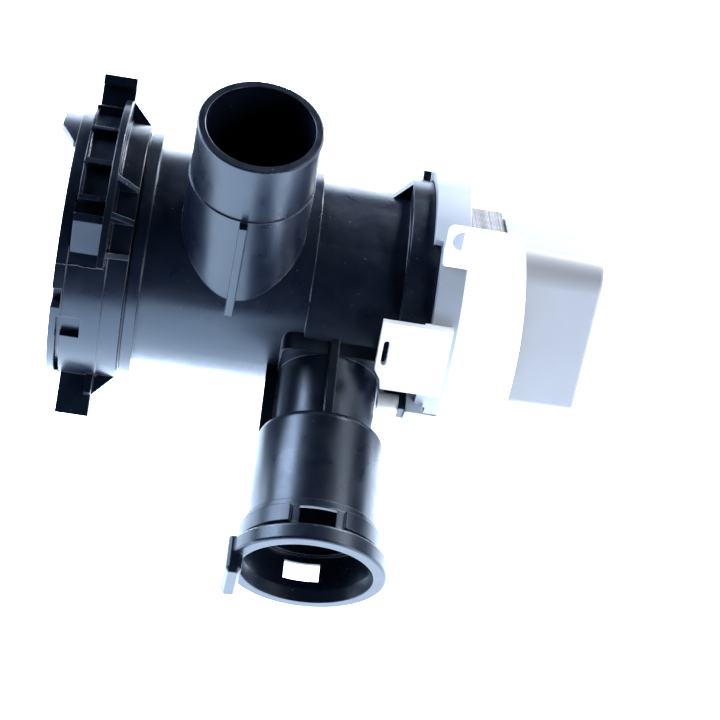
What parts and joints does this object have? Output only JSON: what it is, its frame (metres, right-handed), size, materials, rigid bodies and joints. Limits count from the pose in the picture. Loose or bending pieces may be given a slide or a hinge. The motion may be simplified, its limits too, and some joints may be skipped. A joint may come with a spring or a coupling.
{
  "type": "drain pump",
  "caption": "Washing machine drain pump: black filter housing with upright inlet spout and side hose socket, and a synchronous motor in white plastic.",
  "frame": {"origin": "centre of the front face of the filter collar, on the pump's main axis", "axes": "+X along the main axis from the filter to the motor, +Z along the inlet spout, outlet towards -Y"},
  "size_m": [0.1823, 0.1607, 0.1277],
  "materials": {
    "black_plastic": "satin moulded",
    "cap_plastic": "satin moulded",
    "seal_rubber": "matt",
    "white_plastic": "satin moulded",
    "grey_plastic": "fine satin",
    "impeller_plastic": "satin moulded",
    "steel": "ground",
    "lamination_steel": "stacked sheet",
    "ferrite": "sintered",
    "bronze": "sintered",
    "copper_wire": "enamelled",
    "tin_plate": "tinned"
  },
  "bodies": {
    "housing": {"pump_housing": "black_plastic", "valve_seat": "cap_plastic", "valve_pin": "steel", "motor_flange": "white_plastic", "flange_seal": "seal_rubber", "bearing_holder": "seal_rubber", "shaft_seal": "seal_rubber", "front_bearing": "bronze", "rear_bearing": "bronze", "rotor_can": "white_plastic", "stator_frame": "white_plastic", "stator_core": "lamination_steel", "core_rivets": "steel", "coil_bobbin": "white_plastic", "coil_winding": "copper_wire", "coil_cover": "white_plastic", "terminal_blades": "tin_plate", "rear_cover": "grey_plastic", "lock_bracket": "white_plastic", "motor_screw": "steel"},
    "valve": {"valve_flap": "seal_rubber"},
    "seal": {"filter_seal": "seal_rubber"},
    "filter": {"filter_cap": "cap_plastic", "filter_basket": "cap_plastic"},
    "rotor": {"rotor_shaft": "steel", "rotor_magnet": "ferrite", "drive_dog": "impeller_plastic"},
    "impeller": {"impeller": "impeller_plastic", "impeller_cover": "impeller_plastic"}
  },
  "joints": [
    {"name": "valve_swing", "type": "hinge", "parent": "housing", "child": "valve", "pos_m": [0.09135, -0.06911, 0.00432], "axis": [-1, 0, 0], "range_deg": [0, 55]},
    {"name": "filter_withdraw", "type": "slide", "parent": "housing", "child": "seal", "axis": [-1, 0, 0], "range_m": [0, 0.085]},
    {"name": "filter_turn", "type": "hinge", "parent": "seal", "child": "filter", "pos_m": [0, 0, 0], "axis": [-1, 0, 0], "range_deg": [0, 100]},
    {"name": "rotor_spin", "type": "hinge", "parent": "housing", "child": "rotor", "pos_m": [0.12, 0, 0], "axis": [1, 0, 0], "continuous": true},
    {"name": "impeller_play", "type": "hinge", "parent": "rotor", "child": "impeller", "pos_m": [0.1, 0, 0], "axis": [-1, 0, 0], "range_deg": [0, 240]}
  ]
}
